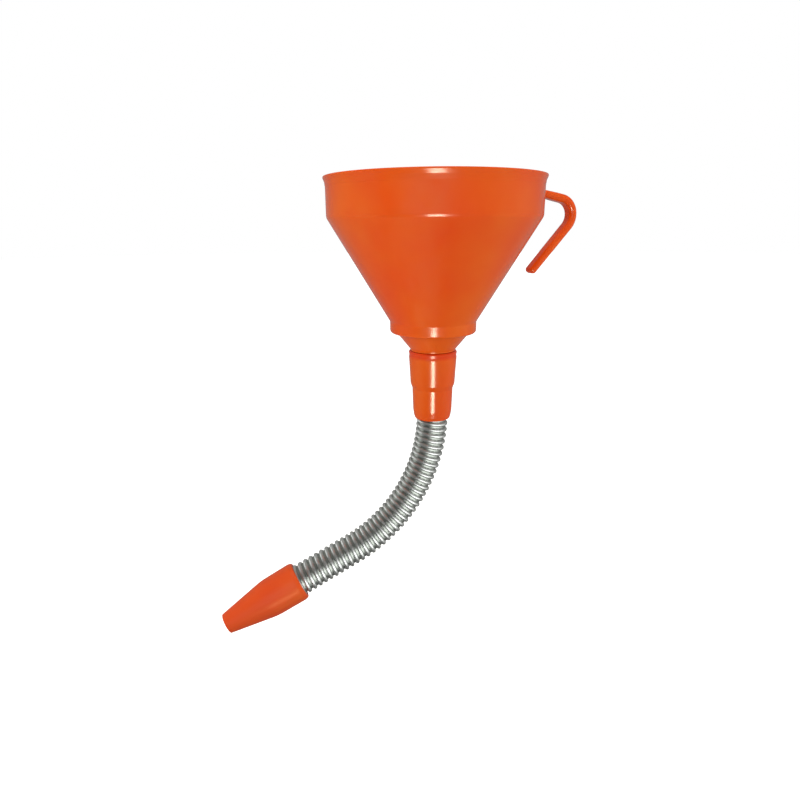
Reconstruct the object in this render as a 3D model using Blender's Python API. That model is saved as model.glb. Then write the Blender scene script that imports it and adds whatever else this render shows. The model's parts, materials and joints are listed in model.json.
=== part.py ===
"""Workshop filling funnel: bowl with hanging hook, lift-out strainer, connector sleeve,
self-holding stripwound metal hose and tapered outlet nozzle.

Units are metres. +Z is the bowl's axis, pointing out of its mouth. The origin is on that
axis, in the plane of the collar's underside. The bowl's hook is at +X, and the hose bends
towards -X, so the whole funnel is symmetric about the plane Y = 0.
"""
from math import cos, pi, radians, sin, tan

import bmesh
import bpy
from mathutils import Matrix, Vector

MM = 0.001
CLEARANCE = 0.3 * MM          # between pieces that touch or slide
WALL = 2.0 * MM               # moulded wall of the bowl

# Bowl
RIM_R = 80.0 * MM             # outside radius of the lip
BAND_R = 78.5 * MM            # outside radius of the straight band under the lip
RIM_Z = 112.0 * MM
LIP_H = 7.0 * MM              # the lip flares out over this height
BAND_Z = 84.3 * MM            # where the band meets the cone
COLLAR_R = 33.1 * MM
COLLAR_Z = 8.6 * MM           # where the cone meets the collar
COLLAR_ROUND = 2.4 * MM
SEAT_HOLE_R = 25.0 * MM       # hole in the strainer's seat
NECK_TOP_R = 28.2 * MM
NECK_END_R = 17.6 * MM        # a short straight stretch above the sleeve
NECK_CONE_Z = -13.0 * MM      # where the cone meets that stretch
NECK_Z = -14.0 * MM
SPIGOT_TOP_R = 15.6 * MM
SPIGOT_END_R = 14.3 * MM
SPIGOT_Z = -40.0 * MM
SPIGOT_WALL = 2.4 * MM

# Hook, a flat bar bent in the plane Y = 0
HOOK_ROOT = (77.5 * MM, 104.3 * MM)     # X, Z of the bar's middle at the band
HOOK_ARM = 31.2 * MM
HOOK_ARM_FALL = radians(11.3)
HOOK_BEND_R = 12.65 * MM
HOOK_TURN = radians(121.2)
HOOK_LEG = 47.6 * MM
HOOK_THICK = (4.4 * MM, 6.3 * MM)       # at the band, and from the bend on
HOOK_WIDTH = 11.0 * MM

# Strainer, standing on the seat inside the collar
STRAINER_R = 30.0 * MM
STRAINER_H = 6.0 * MM
STRAINER_WALL = 3.0 * MM
STRAINER_LEDGE = 1.5 * MM     # ledges above and below the gauze
STRAINER_BAR = 2.2 * MM       # width and height of the cross bars
GAUZE_T = 0.4 * MM

# Connector sleeve, a push fit on the spigot
SLEEVE_TOP_R = 17.8 * MM
SLEEVE_SHOULDER = (18.75 * MM, -17.0 * MM)  # R, Z where the slanted top ends
SLEEVE_STEP_R = (17.35 * MM, 15.95 * MM)    # above and below the step
SLEEVE_STEP_Z = (-40.5 * MM, -44.3 * MM)
SLEEVE_LOW_R = 15.35 * MM
SLEEVE_LOW_Z = -62.5 * MM     # the end is rounded from here
SLEEVE_END_R = 13.9 * MM
SLEEVE_END_Z = -69.0 * MM
SLEEVE_THROAT_R = 10.5 * MM
HOSE_SOCKET = 20.0 * MM       # depth of the hose's socket, here and in the nozzle

# Hose: turns of an S-section strip, each hooked into the next
TURNS = 38
PITCH = 4.84 * MM
RIDGE_R = 12.6 * MM
RIDGE_HALF = 1.65 * MM        # half the width of a ridge
RIDGE_CHAMFER = 0.7 * MM
CAVITY_R = 11.8 * MM          # inside of a ridge
SKIRT_R = 11.3 * MM           # outside of the skirt that reaches into the next ridge
BORE_R = 10.7 * MM
SKIRT_END = 4.55 * MM         # from the ridge's middle
WEB_HALF = 1.1 * MM
HIDDEN_TURNS = 4              # turns held inside the connector and inside the nozzle
HOSE_SIDES = 16
UPPER_STATIONS = 14           # hinge stations in the upper and the middle bend
MIDDLE_STATIONS = 14
UPPER_TILT = radians(2.3)     # tilt at each station of that bend
MIDDLE_TILT = radians(2.46)

# Outlet nozzle
NOZZLE_L = 62.2 * MM
NOZZLE_BASE_R = 15.65 * MM
NOZZLE_BREAK = 25.0 * MM      # the taper gets steeper here
NOZZLE_BREAK_R = 15.2 * MM
NOZZLE_TIP_R = 8.0 * MM
NOZZLE_WALL = 2.0 * MM
NOZZLE_MOUTH = 2.2 * MM        # its rim stands this far above the last hinge station

FINE_SIDES = 48
BOWL_SIDES = 64


def clear_scene():
    for item in list(bpy.data.objects):
        bpy.data.objects.remove(item)


def material(name, colour, roughness, metallic=0.0):
    made = bpy.data.materials.new(name)
    made.use_nodes = True
    shader = made.node_tree.nodes["Principled BSDF"]
    shader.inputs["Base Color"].default_value = (*colour, 1.0)
    shader.inputs["Roughness"].default_value = roughness
    shader.inputs["Metallic"].default_value = metallic
    return made


def add_object(name, mesh, finish):
    mesh.materials.append(finish)
    mesh.shade_smooth()
    mesh.set_sharp_from_angle(angle=radians(35))
    made = bpy.data.objects.new(name, mesh)
    bpy.context.collection.objects.link(made)
    return made


def arc(centre_r, centre_z, radius, start, end, steps):
    """Points (r, z) of an arc, angles in degrees from +r towards +z."""
    angles = [radians(start + (end - start) * i / steps) for i in range(steps + 1)]
    return [(centre_r + radius * cos(a), centre_z + radius * sin(a)) for a in angles]


def turned_mesh(name, profile, sides):
    """A closed outline of (r, z) points, spun about Z."""
    form = bmesh.new()
    verts = [form.verts.new((r, 0.0, z)) for r, z in profile]
    edges = [form.edges.new((verts[i - 1], verts[i])) for i in range(len(verts))]
    bmesh.ops.spin(form, geom=verts + edges, cent=(0, 0, 0), axis=(0, 0, 1),
                   angle=2 * pi, steps=sides, use_merge=True)
    bmesh.ops.remove_doubles(form, verts=form.verts, dist=1e-6)
    bmesh.ops.recalc_face_normals(form, faces=form.faces)
    mesh = bpy.data.meshes.new(name)
    form.to_mesh(mesh)
    form.free()
    return mesh


def bowl_profile():
    """Down the outside from the lip to the spigot, and back up the inside."""
    slope = (BAND_R - COLLAR_R) / (BAND_Z - COLLAR_Z)
    drop = WALL * slope / 2                 # the cone's inside corners sit a little higher
    outside = [(RIM_R, RIM_Z), (RIM_R, RIM_Z - 1.2 * MM), (BAND_R, RIM_Z - LIP_H), (BAND_R, BAND_Z),
               (COLLAR_R, COLLAR_Z)]
    outside += arc(COLLAR_R - COLLAR_ROUND, COLLAR_ROUND, COLLAR_ROUND, 0, -90, 2)
    outside += [(NECK_TOP_R, 0.0), (NECK_END_R, NECK_CONE_Z), (NECK_END_R, NECK_Z),
                (SPIGOT_TOP_R, NECK_Z), (SPIGOT_END_R, SPIGOT_Z)]
    inside = [(SPIGOT_END_R - SPIGOT_WALL, SPIGOT_Z), (SPIGOT_TOP_R - SPIGOT_WALL, NECK_CONE_Z),
              (SEAT_HOLE_R, 0.5 * MM), (SEAT_HOLE_R, WALL),
              (COLLAR_R - WALL, WALL), (COLLAR_R - WALL, COLLAR_Z + drop),
              (BAND_R - WALL, BAND_Z + drop), (BAND_R - WALL, RIM_Z - LIP_H), (RIM_R - WALL, RIM_Z)]
    return outside + inside


def hook_path():
    """The hook's bar as (x, z, direction, thickness) with direction 0 along +X."""
    x, z = HOOK_ROOT
    heading = -HOOK_ARM_FALL
    path = [(x, z, heading, HOOK_THICK[0])]
    x += HOOK_ARM * cos(heading)
    z += HOOK_ARM * sin(heading)
    centre = (x + HOOK_BEND_R * sin(heading), z - HOOK_BEND_R * cos(heading))
    steps = 8
    for i in range(steps + 1):
        turn = heading - HOOK_TURN * i / steps
        path.append((centre[0] - HOOK_BEND_R * sin(turn), centre[1] + HOOK_BEND_R * cos(turn), turn,
                     HOOK_THICK[1]))
    x, z, turn, thick = path[-1]
    path.append((x + HOOK_LEG * cos(turn), z + HOOK_LEG * sin(turn), turn, thick))
    return path


def hook_mesh():
    """A bar of rectangular section with bevelled edges along the hook's path."""
    form = bmesh.new()
    outer = [(x - thick / 2 * sin(t), z + thick / 2 * cos(t)) for x, z, t, thick in hook_path()]
    inner = [(x + thick / 2 * sin(t), z - thick / 2 * cos(t)) for x, z, t, thick in hook_path()]
    outline = outer + inner[::-1]
    face = form.faces.new([form.verts.new((x, -HOOK_WIDTH / 2, z)) for x, z in outline])
    grown = bmesh.ops.extrude_face_region(form, geom=[face])
    moved = [item for item in grown["geom"] if isinstance(item, bmesh.types.BMVert)]
    bmesh.ops.translate(form, verts=moved, vec=(0, HOOK_WIDTH, 0))
    bmesh.ops.recalc_face_normals(form, faces=form.faces)
    sharp = [edge for edge in form.edges if edge.calc_face_angle(0) > radians(60)
             and max(v.co.x for v in edge.verts) > BAND_R]
    bmesh.ops.bevel(form, geom=sharp, offset=1.5 * MM, segments=1, affect="EDGES")
    mesh = bpy.data.meshes.new("hook")
    form.to_mesh(mesh)
    form.free()
    return mesh


def build_bowl(orange):
    bowl = add_object("funnel_bowl", turned_mesh("funnel_bowl", bowl_profile(), BOWL_SIDES), orange)
    hook = add_object("hook_guide", hook_mesh(), orange)
    hook.hide_render = True
    hook.display_type = "WIRE"
    union = bowl.modifiers.new("hook moulded on", "BOOLEAN")
    union.operation = "UNION"
    union.object = hook


def build_strainer(plastic, brass):
    """A ring with two cross bars, and a gauze disc held between the ring's two ledges."""
    foot = WALL + CLEARANCE
    inner = STRAINER_R - STRAINER_WALL
    ledge = inner - STRAINER_LEDGE
    gauze_z = foot + STRAINER_BAR + CLEARANCE + GAUZE_T / 2
    low, high = foot + STRAINER_BAR, gauze_z + GAUZE_T / 2 + CLEARANCE
    profile = [(STRAINER_R - 0.6 * MM, foot), (STRAINER_R, foot + 0.6 * MM),
               (STRAINER_R, foot + STRAINER_H - 0.6 * MM), (STRAINER_R - 0.6 * MM, foot + STRAINER_H),
               (inner, foot + STRAINER_H), (ledge, high + 1.2 * MM), (ledge, high), (inner, high),
               (inner, low), (ledge, low), (ledge, foot)]
    frame = add_object("strainer_frame", turned_mesh("strainer_frame", profile, FINE_SIDES), plastic)
    for angle in (0.0, pi / 2):
        form = bmesh.new()
        bmesh.ops.create_cube(form, size=1.0)
        bmesh.ops.scale(form, vec=(2 * ledge + 1.0 * MM, STRAINER_BAR, STRAINER_BAR - 0.2 * MM),
                        verts=form.verts)
        bmesh.ops.translate(form, vec=(0, 0, foot + STRAINER_BAR / 2), verts=form.verts)
        bmesh.ops.rotate(form, cent=(0, 0, 0), matrix=Matrix.Rotation(angle, 3, "Z"), verts=form.verts)
        mesh = bpy.data.meshes.new("cross_bar")
        form.to_mesh(mesh)
        form.free()
        bar = add_object("cross_bar_guide", mesh, plastic)
        bar.hide_render = True
        bar.display_type = "WIRE"
        union = frame.modifiers.new("cross bar", "BOOLEAN")
        union.operation = "UNION"
        union.object = bar

    form = bmesh.new()
    bmesh.ops.create_cone(form, cap_ends=True, segments=FINE_SIDES, radius1=inner - CLEARANCE,
                          radius2=inner - CLEARANCE, depth=GAUZE_T)
    bmesh.ops.translate(form, vec=(0, 0, gauze_z), verts=form.verts)
    mesh = bpy.data.meshes.new("strainer_gauze")
    form.to_mesh(mesh)
    form.free()
    add_object("strainer_gauze", mesh, brass)


def build_connector(orange):
    """Stepped sleeve: the spigot's socket above, the hose's socket below, a throat between."""
    top = NECK_Z - CLEARANCE
    bore_r = RIDGE_R + 0.4 * MM
    socket_top_r = SPIGOT_TOP_R + CLEARANCE
    socket_end_r = SPIGOT_END_R + CLEARANCE
    outside = [(SLEEVE_TOP_R, top), SLEEVE_SHOULDER,
               (SLEEVE_STEP_R[0], SLEEVE_STEP_Z[0]), (SLEEVE_STEP_R[1], SLEEVE_STEP_Z[1]),
               (SLEEVE_LOW_R, SLEEVE_LOW_Z), (SLEEVE_LOW_R - 0.7 * MM, SLEEVE_LOW_Z - 4.0 * MM),
               (SLEEVE_END_R, SLEEVE_END_Z)]
    inside = [(bore_r, SLEEVE_END_Z), (bore_r, SLEEVE_END_Z + HOSE_SOCKET),
              (SLEEVE_THROAT_R, SLEEVE_END_Z + HOSE_SOCKET), (SLEEVE_THROAT_R, SPIGOT_Z - 5.0 * MM),
              (socket_end_r, SPIGOT_Z - 1.0 * MM), (socket_top_r, top)]
    add_object("spout_connector", turned_mesh("spout_connector", outside + inside, FINE_SIDES), orange)


def station_tilt(station):
    """Rest tilt about +Y at a hinge station; station 0 is at the connector's end face."""
    if station < UPPER_STATIONS:
        return UPPER_TILT
    if station < UPPER_STATIONS + MIDDLE_STATIONS:
        return MIDDLE_TILT
    return 0.0


def hose_stations():
    """Each station's point and the heading after it, as an angle from straight down."""
    point = Vector((0.0, 0.0, SLEEVE_END_Z))
    heading = 0.0
    stations = []
    for number in range(TURNS + 1):
        heading += station_tilt(number)
        stations.append((point.copy(), heading))
        point += PITCH * Vector((-sin(heading), 0.0, -cos(heading)))
    return stations


def turn_profile():
    """One turn of the strip, its ridge's middle at z = 0 and its skirt hanging down."""
    edge = RIDGE_HALF - RIDGE_CHAMFER
    return [(CAVITY_R, RIDGE_HALF), (RIDGE_R, edge), (RIDGE_R, -edge), (SKIRT_R, -RIDGE_HALF),
            (SKIRT_R, -SKIRT_END), (BORE_R, -SKIRT_END), (BORE_R, -WEB_HALF), (CAVITY_R, -WEB_HALF)]


def held_end_profile(open_above, open_below):
    """Hose turns that never move: ridges outside, a plain bore, from z = 0 downwards."""
    outside = []
    for turn in range(HIDDEN_TURNS):
        middle = -PITCH * (turn + 0.5)
        edge = RIDGE_HALF - RIDGE_CHAMFER
        outside += [(SKIRT_R, middle + RIDGE_HALF), (RIDGE_R, middle + edge),
                    (RIDGE_R, middle - edge), (SKIRT_R, middle - RIDGE_HALF)]
    inside = [(BORE_R, outside[-1][1])]
    if open_below:
        skirt_z = -PITCH * (HIDDEN_TURNS - 0.5) - SKIRT_END
        outside.append((SKIRT_R, skirt_z))
        inside = [(BORE_R, skirt_z)]
    if open_above:
        web_z = -PITCH / 2 - WEB_HALF
        inside += [(BORE_R, web_z), (CAVITY_R, web_z)]
        outside[0] = (CAVITY_R, outside[0][1])
    else:
        inside.append((BORE_R, outside[0][1]))
    return outside + inside


def place(item, point, heading):
    item.location = point
    item.rotation_euler = (0.0, heading, 0.0)


def build_hose(steel):
    stations = hose_stations()
    upper = add_object("hose_upper_end", turned_mesh(
        "hose_upper_end", held_end_profile(False, True), HOSE_SIDES), steel)
    place(upper, Vector((0, 0, SLEEVE_END_Z + HIDDEN_TURNS * PITCH)), 0.0)

    mesh = turned_mesh("hose_turn", turn_profile(), HOSE_SIDES)
    for number in range(TURNS):
        point, heading = stations[number]
        down = Vector((-sin(heading), 0.0, -cos(heading)))
        shared = mesh if number else None
        if shared is None:
            turn = add_object("hose_turn_01", mesh, steel)
        else:
            turn = bpy.data.objects.new(f"hose_turn_{number + 1:02d}", shared)
            bpy.context.collection.objects.link(turn)
        place(turn, point + down * PITCH / 2, heading)

    lower = add_object("hose_lower_end", turned_mesh(
        "hose_lower_end", held_end_profile(True, False), HOSE_SIDES), steel)
    place(lower, *stations[-1])


def build_nozzle(orange):
    """Tapered outlet, the last hinge station at z = 0 and its tip downwards."""
    bore_r = RIDGE_R + 0.4 * MM
    outside = [(bore_r + 1.0 * MM, NOZZLE_MOUTH), (bore_r + 2.0 * MM, NOZZLE_MOUTH - 0.4 * MM),
               (NOZZLE_BASE_R, NOZZLE_MOUTH - 3.0 * MM), (NOZZLE_BREAK_R, -NOZZLE_BREAK),
               (NOZZLE_TIP_R, -NOZZLE_L + 0.4 * MM), (NOZZLE_TIP_R - 0.4 * MM, -NOZZLE_L)]
    inside = [(NOZZLE_TIP_R - NOZZLE_WALL, -NOZZLE_L), (SLEEVE_THROAT_R, -NOZZLE_BREAK - 8 * MM),
              (SLEEVE_THROAT_R, -HOSE_SOCKET), (bore_r, -HOSE_SOCKET), (bore_r, NOZZLE_MOUTH)]
    nozzle = add_object("outlet_nozzle", turned_mesh("outlet_nozzle", outside + inside, FINE_SIDES),
                        orange)
    place(nozzle, *hose_stations()[-1])


def main():
    clear_scene()
    orange = material("orange polyethylene", (0.77, 0.12, 0.02), 0.35)
    pale = material("pale plastic", (0.75, 0.73, 0.66), 0.45)
    brass = material("brass gauze", (0.72, 0.52, 0.24), 0.35, 1.0)
    steel = material("galvanised steel", (0.62, 0.62, 0.60), 0.32, 1.0)
    build_bowl(orange)
    build_strainer(pale, brass)
    build_connector(orange)
    build_hose(steel)
    build_nozzle(orange)


main()
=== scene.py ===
"""Looks of the workshop funnel: smooth moulded shells, a helical stripwound hose, woven gauze,
procedural materials, a pale floor and soft studio light. Everything is in metres, in the CAD frame.
"""
import json
from math import atan2, cos, pi, radians, sin, sqrt, tan

import bmesh
import bpy
import numpy as np
from mathutils import Matrix, Vector

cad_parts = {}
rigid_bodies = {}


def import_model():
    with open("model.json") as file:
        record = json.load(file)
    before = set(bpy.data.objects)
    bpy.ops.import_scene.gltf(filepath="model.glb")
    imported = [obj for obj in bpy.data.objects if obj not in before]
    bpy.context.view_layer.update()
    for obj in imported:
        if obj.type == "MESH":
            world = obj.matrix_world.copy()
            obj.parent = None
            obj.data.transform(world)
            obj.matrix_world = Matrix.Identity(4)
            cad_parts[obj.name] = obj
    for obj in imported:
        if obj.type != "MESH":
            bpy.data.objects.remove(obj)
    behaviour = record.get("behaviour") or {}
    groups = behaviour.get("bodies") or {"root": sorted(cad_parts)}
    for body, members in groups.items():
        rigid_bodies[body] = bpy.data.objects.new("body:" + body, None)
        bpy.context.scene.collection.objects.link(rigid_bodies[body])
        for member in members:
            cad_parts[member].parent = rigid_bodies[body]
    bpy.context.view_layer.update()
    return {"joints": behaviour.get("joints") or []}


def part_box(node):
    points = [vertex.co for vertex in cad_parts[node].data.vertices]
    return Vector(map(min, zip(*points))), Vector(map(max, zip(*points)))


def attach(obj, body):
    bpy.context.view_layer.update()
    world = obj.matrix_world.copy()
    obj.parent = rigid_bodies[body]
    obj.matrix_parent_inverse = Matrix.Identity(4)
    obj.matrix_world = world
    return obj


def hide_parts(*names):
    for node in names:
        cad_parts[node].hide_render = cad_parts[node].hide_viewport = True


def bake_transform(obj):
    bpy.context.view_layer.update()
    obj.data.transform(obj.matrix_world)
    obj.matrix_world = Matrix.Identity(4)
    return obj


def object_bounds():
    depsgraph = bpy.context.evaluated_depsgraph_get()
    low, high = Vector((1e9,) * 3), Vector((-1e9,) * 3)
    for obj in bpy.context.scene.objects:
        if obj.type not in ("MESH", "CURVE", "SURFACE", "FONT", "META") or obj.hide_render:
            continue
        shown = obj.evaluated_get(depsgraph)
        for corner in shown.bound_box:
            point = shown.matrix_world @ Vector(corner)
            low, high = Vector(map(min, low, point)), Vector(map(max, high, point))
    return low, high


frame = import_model()

MM = 0.001

# Sizes that the frame gives
BOWL_LOW, BOWL_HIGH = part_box("funnel_bowl")
SLEEVE_LOW, SLEEVE_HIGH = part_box("spout_connector")
RIM_R = BOWL_HIGH.y
RIM_Z = BOWL_HIGH.z
SPIGOT_Z = BOWL_LOW.z
SLEEVE_TOP_Z = SLEEVE_HIGH.z
SLEEVE_END_Z = SLEEVE_LOW.z

# Bowl
WALL = 2.0 * MM
BAND_R = 78.5 * MM
LIP_H = 7.0 * MM
BAND_Z = 84.3 * MM
COLLAR_R = 33.1 * MM
COLLAR_Z = 8.6 * MM
SEAT_HOLE_R = 25.0 * MM
NECK_TOP_R = 28.2 * MM
NECK_END_R = 17.6 * MM
NECK_CONE_Z = -13.0 * MM
NECK_Z = -14.0 * MM
SPIGOT_R = (15.6 * MM, 14.3 * MM)
SPIGOT_WALL = 2.4 * MM

# Hook
HOOK_ROOT = (77.5 * MM, 104.3 * MM)
HOOK_ARM = 31.2 * MM
HOOK_ARM_FALL = radians(11.3)
HOOK_BEND_R = 12.65 * MM
HOOK_TURN = radians(121.2)
HOOK_LEG = 47.6 * MM
HOOK_THICK = (4.4 * MM, 6.3 * MM, 5.7 * MM)     # at the band, in the bend and at the tip
HOOK_WIDTH = 11.0 * MM
HOOK_FLARE = 3.0 * MM         # how much it thickens where it leaves the band
HOOK_FLARE_L = 4.0 * MM
HOOK_TIP = 2.8 * MM           # length of its rounded end

# Strainer
STRAINER_R = 30.0 * MM
STRAINER_H = 6.0 * MM
STRAINER_INNER_R = 27.0 * MM
STRAINER_LEDGE_R = 25.5 * MM
BAR = 2.2 * MM
GAUZE_T = 0.4 * MM
GAP = 0.3 * MM
WIRE_R = 0.16 * MM
WIRE_PITCH = 0.9 * MM
WIRE_SIDES = 6

# Connector sleeve: a thick edge, a waist, a straight part, a step and a slight taper to its end
SLEEVE_EDGE = (18.1 * MM, 18.75 * MM, 1.2 * MM)     # radius at the top, widest, and how far down
SLEEVE_WAIST = (18.35 * MM, 3.2 * MM)               # radius, and how far down
SLEEVE_BODY = (18.6 * MM, 5.2 * MM)
SLEEVE_STEP_R = (17.35 * MM, 15.95 * MM)
SLEEVE_STEP_Z = (-40.5 * MM, -44.3 * MM)
SLEEVE_TAPER_R = (15.35 * MM, 14.7 * MM, 13.9 * MM)
SLEEVE_TAPER_Z = (-62.0 * MM, -66.4 * MM)

# Painted shade in a band at the sleeve's top, under the neck: how strongly the colour is darkened, at these
# depths below its top
SLEEVE_SHADE_DEPTHS = (2.6 * MM, 4.2 * MM, 5.6 * MM)
SLEEVE_SHADE_TONES = (0.75, 0.75, 0.0)

# Hose
TURNS = 38
PITCH = 4.84 * MM
HIDDEN_TURNS = 4
RIDGE_R = 12.6 * MM
GROOVE_R = 10.8 * MM
BORE_R = 10.2 * MM
BORE_GROOVE = 0.5 * MM
RIDGE_SHARE = 0.70            # of the pitch
HOSE_AROUND = 96
HOSE_ALONG = 20               # samples along each turn, outside
HOSE_ALONG_INSIDE = 8
HOSE_SOCKET = 20.0 * MM       # how far it goes into the sleeve and into the nozzle
SOCKET_R = RIDGE_R + 0.4 * MM
THROAT_R = 10.5 * MM

# Nozzle
NOZZLE_L = 62.2 * MM
NOZZLE_BASE_R = 15.65 * MM
NOZZLE_BREAK = 25.0 * MM
NOZZLE_BREAK_R = 15.2 * MM
NOZZLE_TIP_R = 8.0 * MM
NOZZLE_TIP_WALL = 2.0 * MM
NOZZLE_MOUTH = 2.2 * MM       # its rim reaches this far past the first hinge of the hose

AROUND = 160                  # segments around turned shells


# ---------------------------------------------------------------- shape helpers

def fillet(corners, steps=5):
    """A closed outline of (r, z, radius) corners with each corner rounded to its radius."""
    outline = []
    for i, (r, z, radius) in enumerate(corners):
        here = Vector((r, z))
        back = Vector(corners[i - 1][:2]) - here
        ahead = Vector(corners[(i + 1) % len(corners)][:2]) - here
        if radius <= 0.0:
            outline.append((r, z))
            continue
        half = back.angle(ahead) / 2
        reach = min(radius / tan(half), 0.49 * back.length, 0.49 * ahead.length)
        start = here + back.normalized() * reach
        end = here + ahead.normalized() * reach
        for k in range(steps + 1):
            t = k / steps
            point = start * (1 - t) ** 2 + here * 2 * t * (1 - t) + end * t * t
            outline.append((point.x, point.y))
    return outline


def densify(outline, longest):
    """Splits long straight stretches, so that shading and bump have vertices to work with."""
    dense = []
    for i, (r, z) in enumerate(outline):
        r2, z2 = outline[(i + 1) % len(outline)]
        parts = max(1, round(sqrt((r2 - r) ** 2 + (z2 - z) ** 2) / longest))
        dense += [(r + (r2 - r) * k / parts, z + (z2 - z) * k / parts) for k in range(parts)]
    return dense


def finish_mesh(name, form, smooth_angle=32):
    bmesh.ops.recalc_face_normals(form, faces=form.faces)
    mesh = bpy.data.meshes.new(name)
    form.to_mesh(mesh)
    form.free()
    mesh.shade_smooth()
    mesh.set_sharp_from_angle(angle=radians(smooth_angle))
    made = bpy.data.objects.new(name, mesh)
    bpy.context.collection.objects.link(made)
    return made


def turned(name, outline, around=AROUND, matrix=None):
    """Spins a closed (r, z) outline about Z."""
    form = bmesh.new()
    rings = []
    for k in range(around):
        a = 2 * pi * k / around
        rings.append([form.verts.new((r * cos(a), r * sin(a), z)) for r, z in outline])
    count = len(outline)
    for k in range(around):
        near, far = rings[k], rings[(k + 1) % around]
        for i in range(count):
            j = (i + 1) % count
            form.faces.new((near[i], far[i], far[j], near[j]))
    if matrix is not None:
        bmesh.ops.transform(form, matrix=matrix, verts=form.verts)
    return finish_mesh(name, form)


def boolean(target, tool, operation):
    cut = target.modifiers.new("boolean", "BOOLEAN")
    cut.operation = operation
    cut.object = tool
    bpy.context.view_layer.objects.active = target
    bpy.ops.object.modifier_apply(modifier=cut.name)
    bpy.data.objects.remove(tool)


# ---------------------------------------------------------------- bowl

def bowl_outline():
    lift = WALL * (BAND_R - COLLAR_R) / (BAND_Z - COLLAR_Z) / 2
    corners = [
        (RIM_R, RIM_Z, 0.6 * MM), (RIM_R, RIM_Z - 1.2 * MM, 0.6 * MM),
        (BAND_R + 0.5 * MM, RIM_Z - 0.5 * LIP_H, 2.5 * MM), (BAND_R, RIM_Z - LIP_H, 2.0 * MM),
        (BAND_R, BAND_Z, 6.0 * MM),
        (COLLAR_R, COLLAR_Z, 3.0 * MM), (COLLAR_R, 0.0, 2.4 * MM), (NECK_TOP_R, 0.0, 1.6 * MM),
        (NECK_END_R, NECK_CONE_Z, 2.0 * MM), (NECK_END_R, NECK_Z, 0.3 * MM),
        (SPIGOT_R[0], NECK_Z, 0.4 * MM), (SPIGOT_R[1], SPIGOT_Z, 0.6 * MM),
        (SPIGOT_R[1] - SPIGOT_WALL, SPIGOT_Z, 0.6 * MM),
        (SPIGOT_R[0] - SPIGOT_WALL, NECK_CONE_Z, 3.0 * MM), (SEAT_HOLE_R, 0.5 * MM, 0.4 * MM),
        (SEAT_HOLE_R, WALL, 0.4 * MM), (COLLAR_R - WALL, WALL, 0.5 * MM),
        (COLLAR_R - WALL, COLLAR_Z + lift, 2.0 * MM), (BAND_R - WALL, BAND_Z + lift, 3.0 * MM),
        (BAND_R - WALL, RIM_Z - LIP_H, 4.0 * MM), (RIM_R - WALL, RIM_Z, 0.7 * MM)]
    return densify(fillet(corners), 6.0 * MM)


def hook_path(step=0.5 * MM):
    """Middle of the hook's bar as (x, z, direction, share of its length)."""
    x, z = HOOK_ROOT
    heading = -HOOK_ARM_FALL
    pieces = [(HOOK_ARM, 0.0), (HOOK_BEND_R * HOOK_TURN, HOOK_TURN), (HOOK_LEG, 0.0)]
    total = sum(length for length, _ in pieces)
    path = [(x, z, heading, 0.0)]
    travelled = 0.0
    for length, turn in pieces:
        steps = max(2, round(length / step))
        for _ in range(steps):
            heading -= turn / steps / 2
            x += length / steps * cos(heading)
            z += length / steps * sin(heading)
            heading -= turn / steps / 2
            travelled += length / steps
            path.append((x, z, heading, travelled / total))
    return path, total


def hook_section(width, thick, corner, per_corner=6):
    """Rounded rectangle as (across, through) points."""
    points = []
    centres = [(1, 1, 0), (-1, 1, 90), (-1, -1, 180), (1, -1, 270)]
    for sx, sy, start in centres:
        for k in range(per_corner + 1):
            a = radians(start + 90 * k / per_corner)
            points.append((sx * (width / 2 - corner) + corner * cos(a),
                           sy * (thick / 2 - corner) + corner * sin(a)))
    return points


def hook_object():
    """The bar, flared where it grows out of the band and rounded off at its tip."""
    path, total = hook_path()
    form = bmesh.new()
    loops = []
    for x, z, turn, share in path:
        s = share * total
        grow = HOOK_FLARE * max(0.0, 0.75 - s / HOOK_FLARE_L) ** 2
        into_tip = max(0.0, 1 - (total - s) / HOOK_TIP)
        shrink = 2 * HOOK_TIP * (1 - sqrt(max(0.0, 1 - into_tip ** 2)))
        plain = np.interp(s, [0.0, 0.8 * HOOK_ARM, HOOK_ARM + HOOK_BEND_R * HOOK_TURN, total],
                          [HOOK_THICK[0], HOOK_THICK[1], HOOK_THICK[1], HOOK_THICK[2]])
        width = max(HOOK_WIDTH + grow - shrink, 1.0 * MM)
        thick = max(plain + grow - shrink, 0.6 * MM)
        corner = 0.49 * thick
        loops.append([form.verts.new((x - v * sin(turn), u, z + v * cos(turn)))
                      for u, v in hook_section(width, thick, corner)])
    for near, far in zip(loops, loops[1:]):
        for i in range(len(near)):
            j = (i + 1) % len(near)
            form.faces.new((near[i], near[j], far[j], far[i]))
    form.faces.new(loops[0])
    form.faces.new(loops[-1][::-1])
    return finish_mesh("hook_bar", form, 60)


def make_bowl():
    bowl = turned("bowl_shell", bowl_outline())
    boolean(bowl, hook_object(), "UNION")
    bowl.data.shade_smooth()
    bowl.data.set_sharp_from_angle(angle=radians(32))
    return bowl


# ---------------------------------------------------------------- strainer

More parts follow.
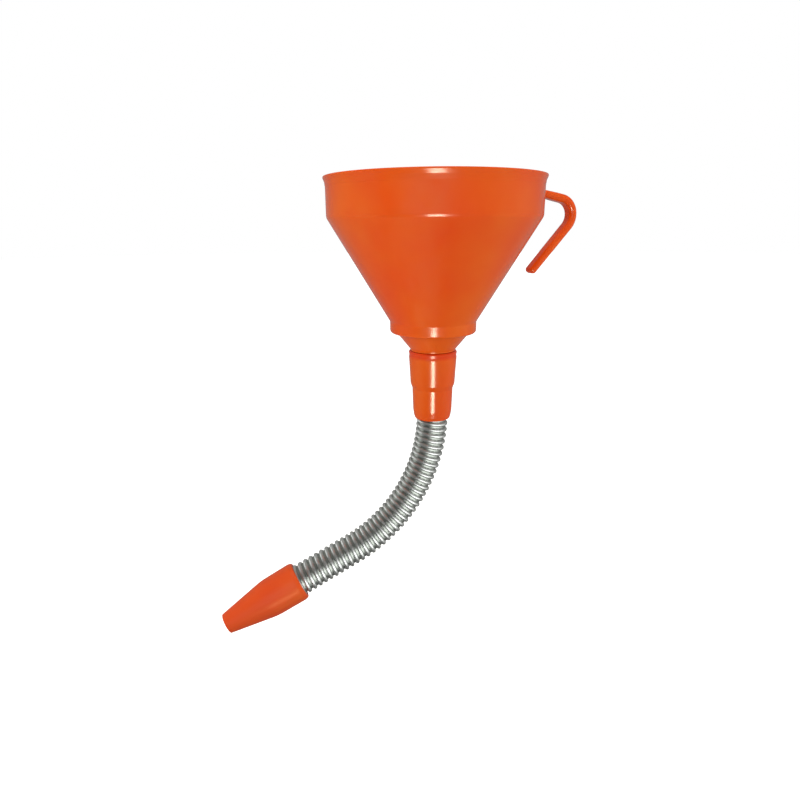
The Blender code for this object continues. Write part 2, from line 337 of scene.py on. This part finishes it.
def make_strainer():
    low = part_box("strainer_frame")[0].z
    ledge_low = low + BAR
    ledge_high = ledge_low + 2 * GAP + GAUZE_T
    corners = [(STRAINER_R, low, 0.6 * MM), (STRAINER_R, low + STRAINER_H, 0.8 * MM),
               (STRAINER_INNER_R, low + STRAINER_H, 0.6 * MM),
               (STRAINER_LEDGE_R, ledge_high + 1.2 * MM, 0.4 * MM), (STRAINER_LEDGE_R, ledge_high, 0.1 * MM),
               (STRAINER_INNER_R, ledge_high, 0.0), (STRAINER_INNER_R, ledge_low, 0.0),
               (STRAINER_LEDGE_R, ledge_low, 0.1 * MM), (STRAINER_LEDGE_R, low, 0.3 * MM)]
    ring = turned("strainer_ring", fillet(corners), 128)
    for angle in (0.0, pi / 2):
        form = bmesh.new()
        bmesh.ops.create_cube(form, size=1.0)
        bmesh.ops.scale(form, vec=(2 * STRAINER_LEDGE_R + 1.0 * MM, BAR, BAR - 0.2 * MM), verts=form.verts)
        bmesh.ops.translate(form, vec=(0, 0, low + BAR / 2), verts=form.verts)
        bmesh.ops.rotate(form, cent=(0, 0, 0), matrix=Matrix.Rotation(angle, 3, "Z"), verts=form.verts)
        bmesh.ops.bevel(form, geom=form.edges[:], offset=0.35 * MM, segments=2, affect="EDGES")
        boolean(ring, finish_mesh("bar", form), "UNION")
    ring.data.shade_smooth()
    ring.data.set_sharp_from_angle(angle=radians(35))
    return ring


def make_gauze():
    """Plain weave: each wire passes over and under the wires that cross it."""
    low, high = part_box("strainer_gauze")
    middle = (low.z + high.z) / 2
    reach = high.x - 0.1 * MM
    count = int(reach / WIRE_PITCH)
    verts, faces = [], []
    for direction in (0, 1):
        for n in range(-count, count + 1):
            offset = n * WIRE_PITCH
            half = sqrt(max(0.0, reach ** 2 - offset ** 2))
            if half < WIRE_PITCH:
                continue
            steps = max(4, int(2 * half / WIRE_PITCH * 4))
            base = len(verts)
            for k in range(steps + 1):
                along = -half + 2 * half * k / steps
                parity = (n + direction) % 2
                lift = WIRE_R * 1.05 * cos(pi * (along / WIRE_PITCH + parity))
                for side in range(WIRE_SIDES):
                    a = 2 * pi * side / WIRE_SIDES
                    across = offset + WIRE_R * cos(a)
                    height = middle + lift + WIRE_R * sin(a)
                    verts.append((along, across, height) if direction == 0 else (across, along, height))
            for k in range(steps):
                for side in range(WIRE_SIDES):
                    a = base + k * WIRE_SIDES + side
                    b = base + k * WIRE_SIDES + (side + 1) % WIRE_SIDES
                    faces.append((a, b, b + WIRE_SIDES, a + WIRE_SIDES))
            for end in (base, base + steps * WIRE_SIDES):
                faces.append(tuple(end + side for side in range(WIRE_SIDES)))
    form = bmesh.new()
    mesh = bpy.data.meshes.new("gauze")
    mesh.from_pydata(verts, [], faces)
    form.from_mesh(mesh)
    bpy.data.meshes.remove(mesh)
    return finish_mesh("gauze_weave", form, 80)


# ---------------------------------------------------------------- connector sleeve and nozzle

def make_connector():
    corners = [
        (SLEEVE_EDGE[0], SLEEVE_TOP_Z, 0.5 * MM), (SLEEVE_EDGE[1], SLEEVE_TOP_Z - SLEEVE_EDGE[2], 0.8 * MM),
        (SLEEVE_WAIST[0], SLEEVE_TOP_Z - SLEEVE_WAIST[1], 1.2 * MM),
        (SLEEVE_BODY[0], SLEEVE_TOP_Z - SLEEVE_BODY[1], 1.5 * MM),
        (SLEEVE_STEP_R[0], SLEEVE_STEP_Z[0], 2.2 * MM), (SLEEVE_STEP_R[1], SLEEVE_STEP_Z[1], 2.2 * MM),
        (SLEEVE_TAPER_R[0], SLEEVE_TAPER_Z[0], 5.0 * MM), (SLEEVE_TAPER_R[1], SLEEVE_TAPER_Z[1], 3.0 * MM),
        (SLEEVE_TAPER_R[2], SLEEVE_END_Z, 0.7 * MM),
        (SOCKET_R, SLEEVE_END_Z, 0.3 * MM), (SOCKET_R, SLEEVE_END_Z + HOSE_SOCKET, 0.2 * MM),
        (THROAT_R, SLEEVE_END_Z + HOSE_SOCKET, 0.3 * MM), (THROAT_R, SPIGOT_Z - 5.0 * MM, 0.5 * MM),
        (SPIGOT_R[1] + GAP, SPIGOT_Z - 1.0 * MM, 0.3 * MM), (SPIGOT_R[0] + GAP, SLEEVE_TOP_Z, 0.5 * MM)]
    sleeve = turned("connector_sleeve", densify(fillet(corners, 6), 1.5 * MM), 128)
    # Painted shade: a point attribute giving how far the colour is darkened near the sleeve's top, by depth
    # below it
    painted_shade = sleeve.data.attributes.new("painted_shade", "FLOAT", "POINT")
    depth = [SLEEVE_TOP_Z - v.co.z for v in sleeve.data.vertices]
    painted_shade.data.foreach_set("value", np.interp(depth, SLEEVE_SHADE_DEPTHS, SLEEVE_SHADE_TONES).astype(np.float32))
    return sleeve


def make_nozzle(matrix):
    corners = [
        (NOZZLE_BASE_R, NOZZLE_MOUTH - 3.2 * MM, 2.0 * MM), (15.0 * MM, NOZZLE_MOUTH - 0.5 * MM, 1.2 * MM),
        (14.0 * MM, NOZZLE_MOUTH, 0.6 * MM),
        (SOCKET_R, NOZZLE_MOUTH, 0.3 * MM), (SOCKET_R, -HOSE_SOCKET, 0.2 * MM),
        (THROAT_R, -HOSE_SOCKET, 0.2 * MM), (THROAT_R, -NOZZLE_BREAK - 8.0 * MM, 4.0 * MM),
        (NOZZLE_TIP_R - NOZZLE_TIP_WALL, -NOZZLE_L, 0.5 * MM), (NOZZLE_TIP_R, -NOZZLE_L, 0.7 * MM),
        (NOZZLE_BREAK_R, -NOZZLE_BREAK, 60.0 * MM)]
    return turned("nozzle_shell", densify(fillet(corners, 8), 4.0 * MM), 128, matrix)


# ---------------------------------------------------------------- hose

def station_points():
    """Hinge points from the frame's joints, in order down the hose, with the heading after each."""
    chain = {joint["parent"]: joint for joint in frame["joints"] if joint["type"] == "hinge"
             and joint["name"] != "spout_swivel"}
    points, children, body = [], [], "hose_inlet"
    while body in chain:
        joint = chain[body]
        points.append(Vector(joint["pos_m"]))
        body = joint["child"]
        children.append(body)
    headings = []
    for here, there in zip(points, points[1:]):
        run = there - here
        headings.append(atan2(-run.x, -run.z))
    headings.append(headings[-1])
    return points, headings, children


def centreline(points, headings):
    """Returns a function of distance along the hose, in turns, giving (point, heading).
    Each ring's middle lies on it, and a cubic joins one middle to the next."""
    middles, angles = [], []
    for n in range(-HIDDEN_TURNS, TURNS + HIDDEN_TURNS + 1):
        if n < 0:
            at, heading = points[0] + Vector((0, 0, -PITCH * (n + 0.5))), 0.0
        elif n >= TURNS:
            heading = headings[-1]
            down = Vector((-sin(heading), 0, -cos(heading)))
            at = points[-1] + down * PITCH * (n - TURNS + 0.5)
        else:
            at, heading = (points[n] + points[n + 1]) / 2, headings[n]
        middles.append(at)
        angles.append(heading)

    def at(turn):
        """turn counts from the first hinge station."""
        place = turn - 0.5 + HIDDEN_TURNS
        i = int(min(max(np.floor(place), 0), len(middles) - 2))
        t = place - i
        start, end = middles[i], middles[i + 1]
        lead = Vector((-sin(angles[i]), 0, -cos(angles[i]))) * PITCH
        trail = Vector((-sin(angles[i + 1]), 0, -cos(angles[i + 1]))) * PITCH
        point = (start * (2 * t ** 3 - 3 * t ** 2 + 1) + lead * (t ** 3 - 2 * t ** 2 + t)
                 + end * (3 * t ** 2 - 2 * t ** 3) + trail * (t ** 3 - t ** 2))
        return point, angles[i] + (angles[i + 1] - angles[i]) * t

    return at


def ridge_height(phase):
    """0 in the groove to 1 on the ridge; phase is in turns from the ridge's middle."""
    off = np.abs((phase + 0.5) % 1.0 - 0.5) / (RIDGE_SHARE / 2)
    return np.sqrt(1 - np.clip(off, 0, 1) ** 2)


def hose_surface(at, turns, angles, inside):
    """Grid of points (turn, angle) on the hose, and the share of ridge height at each."""
    grid = np.zeros((len(turns), len(angles), 3))
    height = np.zeros((len(turns), len(angles)))
    for i, turn in enumerate(turns):
        point, heading = at(turn)
        phase = turn - np.array(angles) / (2 * pi)
        height[i] = ridge_height(phase)
        if inside:
            radius = BORE_R + BORE_GROOVE * height[i]
        else:
            radius = GROOVE_R + (RIDGE_R - GROOVE_R) * height[i]
        across = radius * np.cos(angles)
        grid[i, :, 0] = point.x + across * cos(heading)
        grid[i, :, 1] = radius * np.sin(angles)
        grid[i, :, 2] = point.z - across * sin(heading)
    return grid, height


def grid_normals(at, turns, angles, inside):
    """Unit normals of the hose's surface, by small differences."""
    step = 1e-3
    ahead, _ = hose_surface(at, [t + step for t in turns], angles, inside)
    behind, _ = hose_surface(at, [t - step for t in turns], angles, inside)
    left, _ = hose_surface(at, turns, [a + step for a in angles], inside)
    right, _ = hose_surface(at, turns, [a - step for a in angles], inside)
    normal = np.cross(ahead - behind, left - right)
    normal /= np.linalg.norm(normal, axis=2, keepdims=True)
    return -normal if inside else normal


def lay_strip(mesh, faces, turns, angles):
    """UV map of the strip: u goes once round the hose, v counts turns, and a face at the seam passes 1."""
    corners = np.array(faces).ravel()
    around = (np.tile(angles, len(turns))[corners] / (2 * pi)).astype(np.float32).reshape(-1, 4)
    at_seam = around.max(1) - around.min(1) > 0.5
    around[at_seam] = np.where(around[at_seam] < 0.5, around[at_seam] + 1, around[at_seam])
    along = np.repeat(turns, len(angles))[corners].astype(np.float32)
    mesh.uv_layers.new(name="strip").data.foreach_set("uv", np.stack([around.ravel(), along], 1).ravel())


def hose_piece(name, at, first, last):
    """A closed stretch of the helically ribbed hose between two cuts square to it."""
    angles = [2 * pi * k / HOSE_AROUND for k in range(HOSE_AROUND)]
    outer_turns = np.linspace(first, last, round((last - first) * HOSE_ALONG) + 1)
    inner_turns = np.linspace(first, last, round((last - first) * HOSE_ALONG_INSIDE) + 1)
    outer, outer_height = hose_surface(at, outer_turns, angles, False)
    inner, inner_height = hose_surface(at, inner_turns, angles, True)
    verts = np.concatenate([outer.reshape(-1, 3), inner.reshape(-1, 3)])
    height = np.concatenate([outer_height.ravel(), inner_height.ravel()])
    inner_start = len(outer_turns) * HOSE_AROUND
    faces, normals = [], []
    for base, turns, inside in ((0, outer_turns, False), (inner_start, inner_turns, True)):
        field = grid_normals(at, turns, angles, inside)
        for i in range(len(turns) - 1):
            for k in range(HOSE_AROUND):
                m = (k + 1) % HOSE_AROUND
                cell = [(i, k), (i + 1, k), (i + 1, m), (i, m)]
                if inside:
                    cell.reverse()
                faces.append([base + a * HOSE_AROUND + b for a, b in cell])
                normals.extend(field[a, b] for a, b in cell)
    ends = ((0, inner_start, first, -1),
            (inner_start - HOSE_AROUND, len(verts) - HOSE_AROUND, last, 1))
    for outer_row, inner_row, turn, sense in ends:
        heading = at(turn)[1]
        outward = sense * np.array((-sin(heading), 0.0, -cos(heading)))
        for k in range(HOSE_AROUND):
            m = (k + 1) % HOSE_AROUND
            cell = [outer_row + k, outer_row + m, inner_row + m, inner_row + k]
            if sense > 0:
                cell.reverse()
            faces.append(cell)
            normals.extend([outward] * 4)
    mesh = bpy.data.meshes.new(name)
    mesh.from_pydata([tuple(v) for v in verts], [], faces)
    mesh.shade_smooth()
    # Depth into the groove, which the steel's colour uses to paint shade in the grooves
    groove = mesh.attributes.new("groove", "FLOAT", "POINT")
    groove.data.foreach_set("value", (1 - height).astype(np.float32))
    lay_strip(mesh, faces, np.concatenate([outer_turns, inner_turns]), angles)
    mesh.normals_split_custom_set([tuple(n) for n in normals])
    made = bpy.data.objects.new(name, mesh)
    bpy.context.collection.objects.link(made)
    return made


# ---------------------------------------------------------------- materials

class Nodes:
    """Shorthand for building one material's node tree."""

    def __init__(self, name):
        self.material = bpy.data.materials.new(name)
        self.material.use_nodes = True
        self.tree = self.material.node_tree
        self.shader = self.tree.nodes["Principled BSDF"]

    def add(self, kind, **inputs):
        node = self.tree.nodes.new(kind)
        for key, value in inputs.items():
            node.inputs[key.replace("_", " ")].default_value = value
        return node

    def link(self, out, into):
        self.tree.links.new(out, into)

    def noise(self, coords, scale, detail=3.0, roughness=0.55, stretch=None):
        if stretch:
            mapping = self.add("ShaderNodeMapping", Scale=stretch)
            self.link(coords, mapping.inputs["Vector"])
            coords = mapping.outputs[0]
        made = self.add("ShaderNodeTexNoise", Scale=scale, Detail=detail, Roughness=roughness)
        self.link(coords, made.inputs["Vector"])
        return made.outputs["Fac"]

    def ramp(self, factor, stops):
        """stops are pairs of a place on the ramp and its colour."""
        stops = list(stops)
        made = self.add("ShaderNodeValToRGB")
        elements = made.color_ramp.elements
        while len(elements) < len(stops):
            elements.new(0.5)
        for element, (place, colour) in zip(elements, stops):
            element.position = place
            element.color = (*colour, 1.0)
        self.link(factor, made.inputs["Fac"])
        return made.outputs["Color"]

    def between(self, factor, low, high, spread=(0.3, 0.7)):
        """low to high as the factor goes through the spread, and level outside it."""
        made = self.add("ShaderNodeMapRange", From_Min=spread[0], From_Max=spread[1],
                        To_Min=low, To_Max=high)
        self.link(factor, made.inputs["Value"])
        return made.outputs["Result"]

    def mix(self, factor, first, second):
        """first is a colour's output; second is one too, or a plain colour."""
        made = self.tree.nodes.new("ShaderNodeMix")
        made.data_type = "RGBA"
        self.link(factor, made.inputs[0])
        self.link(first, made.inputs[6])
        if isinstance(second, tuple):
            made.inputs[7].default_value = (*second, 1.0)
        else:
            self.link(second, made.inputs[7])
        return made.outputs[2]

    def bumps(self, *layers):
        """Layers of (height, strength, distance), one on top of the other."""
        normal = None
        for height, strength, distance in layers:
            bump = self.add("ShaderNodeBump", Strength=strength, Distance=distance)
            self.link(height, bump.inputs["Height"])
            if normal is not None:
                self.link(normal, bump.inputs["Normal"])
            normal = bump.outputs["Normal"]
        self.link(normal, self.shader.inputs["Normal"])

    def set(self, **inputs):
        for key, value in inputs.items():
            self.shader.inputs[key.replace("_", " ")].default_value = value


# Deep, main and bright tone of each moulding
ORANGE_TONES = ((0.66, 0.056, 0.002), (0.67, 0.074, 0.002), (0.68, 0.098, 0.003))
NOZZLE_TONES = ((0.58, 0.047, 0.003), (0.61, 0.058, 0.003), (0.63, 0.078, 0.004))
PALE_TONES = ((0.66, 0.63, 0.54), (0.72, 0.69, 0.61), (0.78, 0.76, 0.69))
STEEL_TONES = ((0.60, 0.62, 0.60), (0.70, 0.725, 0.70), (0.81, 0.83, 0.815))
STEEL_DULL = (0.54, 0.56, 0.53)
# Painted shade: the dark tone that the grooves of the hose are drawn towards
STEEL_GROOVE_SHADE = (0.25, 0.275, 0.24)
BRASS_TONES = ((0.48, 0.31, 0.11), (0.74, 0.53, 0.24), (0.86, 0.68, 0.36))
FLOOR_TONES = ((0.90, 0.90, 0.90), (0.93, 0.93, 0.93))


def moulded_plastic(name, tones, roughness, subsurface=0.0):
    """A moulding: cloudy colour, faint flow streaks, handling marks, a fine mould grain and, on the sleeve's
    top band, painted shade.
    """
    deep, _, bright = tones
    m = Nodes(name)
    coords = m.add("ShaderNodeTexCoord").outputs["Object"]
    cloud = m.noise(coords, 14.0, 3.0)
    streak = m.noise(coords, 34.0, 2.0, stretch=(1.0, 1.0, 0.30))
    grain = m.noise(coords, 2400.0, 2.0)
    ripple = m.noise(coords, 46.0, 2.0)
    scuff = m.noise(coords, 120.0, 6.0, 0.65)
    colour = m.ramp(cloud, zip((0.32, 0.50, 0.68), tones))
    tint = m.mix(m.between(streak, 0.0, 0.22), colour, bright)
    # Painted shade: a darker, redder tone mixed in by the sleeve's point attribute; pieces without it take
    # none
    painted_shade = m.add("ShaderNodeAttribute")
    painted_shade.attribute_name = "painted_shade"
    with_painted_shade = m.mix(painted_shade.outputs["Fac"], tint, (deep[0] * 0.98, deep[1] * 0.55, deep[2]))
    m.link(with_painted_shade, m.shader.inputs["Base Color"])
    gloss = m.between(scuff, roughness - 0.03, roughness + 0.07, spread=(0.35, 0.75))
    m.link(gloss, m.shader.inputs["Roughness"])
    m.bumps((ripple, 0.16, 0.0008), (grain, 0.12, 0.00006))
    m.set(IOR=1.45, Specular_IOR_Level=0.42, Subsurface_Weight=subsurface, Subsurface_Scale=0.002)
    m.shader.inputs["Subsurface Radius"].default_value = (1.0, 0.35, 0.15)
    return m.material


def hose_steel():
    """Bright zinc on formed strip: drawing lines along the strip, spangle, and painted shade in the grooves.
    """
    m = Nodes("formed_strip_steel")
    coords = m.add("ShaderNodeTexCoord").outputs["Object"]
    wrap = m.add("ShaderNodeUVMap")
    wrap.uv_map = "strip"
    drawn = m.noise(wrap.outputs[0], 14.0, 4.0, 0.7, stretch=(1.0, 9.0, 1.0))
    spangle = m.noise(coords, 420.0, 2.0)
    patch = m.noise(coords, 60.0, 3.0)
    groove = m.add("ShaderNodeAttribute")
    groove.attribute_name = "groove"
    metal = m.ramp(spangle, zip((0.25, 0.50, 0.75), STEEL_TONES))
    dull = m.mix(m.between(patch, 0.0, 0.4), metal, STEEL_DULL)
    # Painted shade: the colour darkens towards the bottom of each groove
    groove_shade = m.between(groove.outputs["Fac"], 0.0, 0.80, spread=(0.40, 0.95))
    colour = m.mix(groove_shade, dull, STEEL_GROOVE_SHADE)
    m.link(colour, m.shader.inputs["Base Color"])
    smooth = m.between(drawn, 0.30, 0.46)
    m.link(smooth, m.shader.inputs["Roughness"])
    m.set(Metallic=1.0)
    m.bumps((drawn, 0.22, 0.00006), (spangle, 0.10, 0.00005))
    return m.material


def gauze_brass():
    m = Nodes("woven_brass")
    coords = m.add("ShaderNodeTexCoord").outputs["Object"]
    tarnish = m.noise(coords, 140.0, 4.0)
    colour = m.ramp(tarnish, zip((0.3, 0.55, 0.8), BRASS_TONES))
    m.link(colour, m.shader.inputs["Base Color"])
    m.link(m.between(tarnish, 0.42, 0.24), m.shader.inputs["Roughness"])
    m.set(Metallic=1.0)
    return m.material


def floor_material():
    m = Nodes("pale_floor")
    coords = m.add("ShaderNodeTexCoord").outputs["Object"]
    colour = m.ramp(m.noise(coords, 3.0), zip((0.3, 0.7), FLOOR_TONES))
    m.link(colour, m.shader.inputs["Base Color"])
    m.set(Roughness=0.9, Emission_Strength=0.75)
    m.shader.inputs["Emission Color"].default_value = (1, 1, 1, 1)
    return m.material


# ---------------------------------------------------------------- pieces

def dress(piece, finish, slot, *nodes):
    piece.data.materials.clear()
    piece.data.materials.append(finish)
    if nodes:
        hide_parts(*nodes)


ORANGE = moulded_plastic("orange_polyethylene", ORANGE_TONES, 0.20, 0.06)
NOZZLE_ORANGE = moulded_plastic("nozzle_polyethylene", NOZZLE_TONES, 0.36, 0.06)
PALE = moulded_plastic("pale_polyamide", PALE_TONES, 0.42)
STEEL = hose_steel()
BRASS = gauze_brass()

bowl = make_bowl()
dress(bowl, ORANGE, "orange_plastic", "funnel_bowl")
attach(bowl, "bowl")

ring = make_strainer()
dress(ring, PALE, "strainer_plastic", "strainer_frame")
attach(ring, "strainer")
gauze = make_gauze()
dress(gauze, BRASS, "gauze_wire", "strainer_gauze")
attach(gauze, "strainer")

sleeve = make_connector()
dress(sleeve, ORANGE, "orange_plastic", "spout_connector")
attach(sleeve, "connector")

points, headings, children = station_points()
along = centreline(points, headings)

inlet = hose_piece("hose_strip_inlet", along, -HIDDEN_TURNS + 0.5, -0.5)
dress(inlet, STEEL, "hose_steel", "hose_upper_end")
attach(inlet, "hose_inlet")
outlet = hose_piece("hose_strip_outlet", along, TURNS + 0.5, TURNS + HIDDEN_TURNS - 0.5)
dress(outlet, STEEL, "hose_steel", "hose_lower_end")
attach(outlet, "outlet")
hose = [inlet, outlet]
for number, child in enumerate(children):
    stretch = hose_piece(f"hose_strip_{number:02d}", along, number - 0.5, number + 0.5)
    stands_for = [f"hose_{child}"] if child != "outlet" else []
    dress(stretch, STEEL, "hose_steel", *stands_for)
    along(number - 0.5)[0]
    along(number + 0.5)[0]
    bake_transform(stretch)
    hose.append(stretch)

end_heading = headings[-1]
nozzle = make_nozzle(Matrix.Translation(points[-1]) @ Matrix.Rotation(end_heading, 4, "Y"))
dress(nozzle, NOZZLE_ORANGE, "nozzle_plastic", "outlet_nozzle")
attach(nozzle, "outlet")


# ---------------------------------------------------------------- stage, light and camera

VIEW_TURN = radians(-20)      # camera's azimuth; 0 looks along +Y
VIEW_DISTANCE = 0.450
VIEW_HEIGHT = 0.0785
VIEW_PITCH = radians(16.53)
VIEW_ROLL = radians(-0.41)
VIEW_ASIDE = 0.02585          # the camera stands this far left of the funnel's axis
LENS = 26.415
FLOOR_DROP = 0.30             # the funnel is held this far above the floor
FLOOR_R = 14.0

SOFT = 0.56                   # even light on everything, seen by no gloss
AMBIENT = 0.14                # what gloss sees between the panels
STUDIO_TINT = (1.0, 0.99, 0.98, 1)
WHITE = (1, 1, 1)
PANELS = [                    # bright parts of the studio: right, near, up, edge, full, strength
    (0.85, 0.50, -0.20, 0.50, 0.82, 0.20),
    (-0.75, -0.65, -0.40, 0.30, 0.90, 0.15),
    (0.55, -0.83, 0.00, 0.30, 0.90, 0.20),
    (-0.30, -0.2, 1.00, 0.40, 0.90, 0.25)]

mouldings = [bowl, sleeve, ring]
# Lamps aimed at the funnel: name, place (right, near, up), width and height, watts, colour,
# whether it shows in gloss alone or lights matt surfaces alone, and the pieces it is kept to
LAMPS = [
    ("front_softbox", (-0.01, 0.80, -0.34), (0.22, 0.34), 7.8, (0.9, 1, 0.8), True, mouldings),
    ("nozzle_softbox", (0.10, 0.80, -0.50), (0.40, 0.22), 2.6, (1, 0.85, 0.4), True, [nozzle]),
    ("nozzle_low_fill", (0.3, 0.5, -1.0), (0.6, 0.6), 4.5, (0.5, 1, 0.2), False, [nozzle]),
    ("low_fill", (-0.35, 0.50, -1.0), (0.8, 0.8), 6.5, (1, 1, 0.7), False, [bowl]),
    ("hose_softbox", (0.50, 0.85, -0.45), (1.0, 1.0), 7.5, WHITE, True, hose),
    ("hose_front_light", (0.10, 1.0, -0.20), (0.5, 0.9), 1.6, WHITE, True, hose),
    ("hose_side_light", (1.1, 0.35, -0.5), (0.9, 0.9), 3.0, WHITE, True, hose),
    ("hose_back_light", (-1.1, -0.15, 0.0), (0.9, 0.9), 3.0, WHITE, True, hose),
    ("front_fill", (-0.2, 1.1, 0.2), (0.9, 0.9), 5.6, WHITE, False, []),
    ("top_fill", (0.0, 0.15, 1.3), (0.8, 0.8), 9.0, (1, 1, 0.9), False, []),
    ("right_fill", (1.1, 0.10, -0.20), (0.9, 1.1), 7.6, (1, 1, 0.5), False, []),
    ("left_fill", (-1.1, 0.20, -0.25), (0.9, 1.1), 5.6, (1, 1, 0.6), False, [])]


def from_camera(right, back, up):
    """A point given by metres to the right of the axis, towards the camera and up."""
    return (Vector((cos(VIEW_TURN), sin(VIEW_TURN), 0)) * right
            + Vector((sin(VIEW_TURN), -cos(VIEW_TURN), 0)) * back + Vector((0, 0, up)))


def add_camera():
    data = bpy.data.cameras.new("camera")
    data.lens = LENS
    data.sensor_width = 36.0
    camera = bpy.data.objects.new("camera", data)
    bpy.context.collection.objects.link(camera)
    camera.matrix_world = (Matrix.Translation(from_camera(-VIEW_ASIDE, VIEW_DISTANCE, VIEW_HEIGHT))
                           @ Matrix.Rotation(VIEW_TURN, 4, "Z")
                           @ Matrix.Rotation(pi / 2 - VIEW_PITCH, 4, "X")
                           @ Matrix.Rotation(VIEW_ROLL, 4, "Z"))
    bpy.context.scene.camera = camera


def add_lamp(name, place, size, watts, colour, in_gloss, pieces):
    """A soft lamp that the camera never sees, aimed at the origin."""
    data = bpy.data.lights.new(name, "AREA")
    data.shape = "RECTANGLE"
    data.size, data.size_y = size
    data.energy = watts
    data.color = colour
    lamp = bpy.data.objects.new(name, data)
    bpy.context.collection.objects.link(lamp)
    lamp.visible_camera = False
    lamp.visible_glossy = in_gloss
    lamp.visible_diffuse = not in_gloss
    lamp.location = from_camera(*place)
    lamp.rotation_euler = (-lamp.location).to_track_quat("-Z", "Y").to_euler()
    if pieces:
        lamp.light_linking.receiver_collection = bpy.data.collections.new(name + "_lights")
        for piece in pieces:
            lamp.light_linking.receiver_collection.objects.link(piece)


def add_stage():
    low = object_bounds()[0].z - FLOOR_DROP
    form = bmesh.new()
    bmesh.ops.create_circle(form, cap_ends=True, radius=FLOOR_R, segments=96)
    bmesh.ops.translate(form, vec=(0, 0, low), verts=form.verts)
    floor = finish_mesh("floor", form)
    floor.data.materials.append(floor_material())
    floor.visible_diffuse = False       # the world behind it lights and shows in the piece instead
    floor.visible_glossy = False


def panel_light(tree):
    """Strength of the studio in each direction: dim, with a few soft-edged panels."""
    direction = tree.nodes.new("ShaderNodeTexCoord").outputs["Generated"]
    total = None
    for right, near, up, start, end, strength in PANELS:
        facing = tree.nodes.new("ShaderNodeVectorMath")
        facing.operation = "DOT_PRODUCT"
        facing.inputs[1].default_value = from_camera(right, near, up).normalized()
        tree.links.new(direction, facing.inputs[0])
        panel = tree.nodes.new("ShaderNodeMapRange")
        panel.interpolation_type = "SMOOTHSTEP"
        for name, value in (("From Min", start), ("From Max", end), ("To Max", strength)):
            panel.inputs[name].default_value = value
        tree.links.new(facing.outputs["Value"], panel.inputs["Value"])
        adder = tree.nodes.new("ShaderNodeMath")
        adder.inputs[0].default_value = AMBIENT
        if total is not None:
            tree.links.new(total, adder.inputs[0])
        tree.links.new(panel.outputs["Result"], adder.inputs[1])
        total = adder.outputs[0]
    return total


def even_light(tree, strength):
    made = tree.nodes.new("ShaderNodeBackground")
    made.inputs["Color"].default_value = (1, 1, 1, 1)
    made.inputs["Strength"].default_value = strength
    return made.outputs[0]


def choose_by_ray(tree, is_kind, others, kind):
    """One light for rays of a kind, and another for all others."""
    made = tree.nodes.new("ShaderNodeMixShader")
    for value, socket in zip((is_kind, others, kind), made.inputs):
        tree.links.new(value, socket)
    return made.outputs[0]


def add_world():
    """Panels for gloss, even light for matt surfaces and plain white behind it all."""
    world = bpy.data.worlds.new("studio")
    bpy.context.scene.world = world
    world.use_nodes = True
    tree = world.node_tree
    panels = tree.nodes["Background"]
    panels.inputs["Color"].default_value = STUDIO_TINT
    tree.links.new(panel_light(tree), panels.inputs["Strength"])
    ray = tree.nodes.new("ShaderNodeLightPath")
    matt = choose_by_ray(tree, ray.outputs["Is Diffuse Ray"], panels.outputs[0], even_light(tree, SOFT))
    seen = choose_by_ray(tree, ray.outputs["Is Camera Ray"], matt, even_light(tree, 1.0))
    tree.links.new(seen, tree.nodes["World Output"].inputs["Surface"])


add_stage()
add_world()
for lamp in LAMPS:
    add_lamp(*lamp)
add_camera()
bpy.context.scene.view_settings.view_transform = "Standard"
